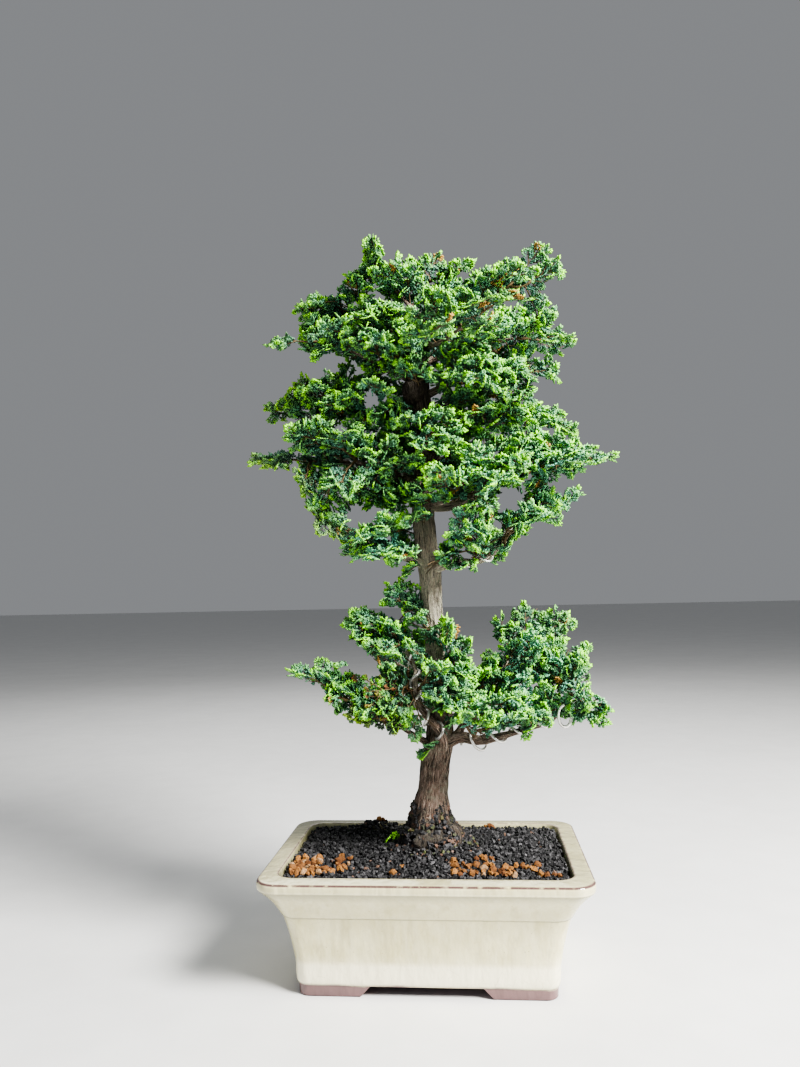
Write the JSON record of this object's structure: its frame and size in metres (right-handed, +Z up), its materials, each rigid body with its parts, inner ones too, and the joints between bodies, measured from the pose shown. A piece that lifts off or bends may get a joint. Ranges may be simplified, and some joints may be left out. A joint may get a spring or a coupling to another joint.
{
  "type": "hinoki cypress bonsai",
  "caption": "Hinoki cypress bonsai with an upright fluted trunk, wired branches and fan-like sprays of scale leaves, planted in a glazed rectangular pot with feet.",
  "frame": {"origin": "centre of the pot's footprint, on the surface that its feet stand on", "axes": "+Z up along the trunk, -Y towards the front of the tree, +X to the viewer's right"},
  "size_m": [0.3099, 0.2463, 0.6057],
  "materials": {
    "glaze": "cream glaze, fine crackle, pooled thicker near the foot, bare clay feet",
    "drain_net": "plain net",
    "soil": "dark mineral granules of 2 to 3 mm",
    "fired_clay": "porous orange-brown granules",
    "bark": "fibrous bark in upright strips",
    "wire": "dulled wire",
    "foliage": "waxy scale leaves, brighter at the tips"
  },
  "bodies": {
    "root": {"pot": "glaze", "drain_net_left": "drain_net", "drain_net_right": "drain_net", "soil": "soil", "trunk_and_branches": "bark", "orange_granules_left": "fired_clay", "orange_granules_right": "fired_clay", "wire_left_branch": "wire", "wire_right_branch": "wire", "wire_right_arm": "wire", "wire_left_arm": "wire", "foliage_low_left_tip": "foliage", "foliage_low_left_under": "foliage", "foliage_left_cluster_top": "foliage", "foliage_left_cluster_front": "foliage", "foliage_left_cluster_low": "foliage", "foliage_left_cluster_back": "foliage", "foliage_trunk_front": "foliage", "foliage_trunk_right": "foliage", "foliage_trunk_left": "foliage", "foliage_right_cluster_inner": "foliage", "foliage_right_cluster_front": "foliage", "foliage_right_cluster_outer": "foliage", "foliage_right_tuft": "foliage", "foliage_right_tuft_under": "foliage", "foliage_right_end": "foliage", "foliage_low_back_right": "foliage", "foliage_low_back": "foliage", "foliage_right_arm_inner": "foliage", "foliage_right_arm_front": "foliage", "foliage_right_arm_tip": "foliage", "foliage_dark_right_tip": "foliage", "foliage_dark_right_mid": "foliage", "foliage_dark_right_near": "foliage", "foliage_high_right_tip": "foliage", "foliage_high_right_front": "foliage", "foliage_crown_right_tip": "foliage", "foliage_crown_right_front": "foliage", "foliage_shoulder_right_tip": "foliage", "foliage_top_right_tip": "foliage", "foliage_crown_front_tip": "foliage", "foliage_leader": "foliage", "foliage_leader_right": "foliage", "foliage_top_left_tip": "foliage", "foliage_shoulder_left_tip": "foliage", "foliage_shoulder_left_front": "foliage", "foliage_crown_left_tip": "foliage", "foliage_high_left_tip": "foliage", "foliage_high_left_front": "foliage", "foliage_mid_left_tip": "foliage", "foliage_mid_left_front": "foliage", "foliage_left_arm_tip": "foliage", "foliage_left_arm_front": "foliage", "foliage_heart_front": "foliage", "foliage_back_left": "foliage", "foliage_back_right": "foliage", "foliage_crown_back_left": "foliage", "foliage_crown_back_right": "foliage", "foliage_shoulder_back": "foliage"}
  },
  "joints": []
}
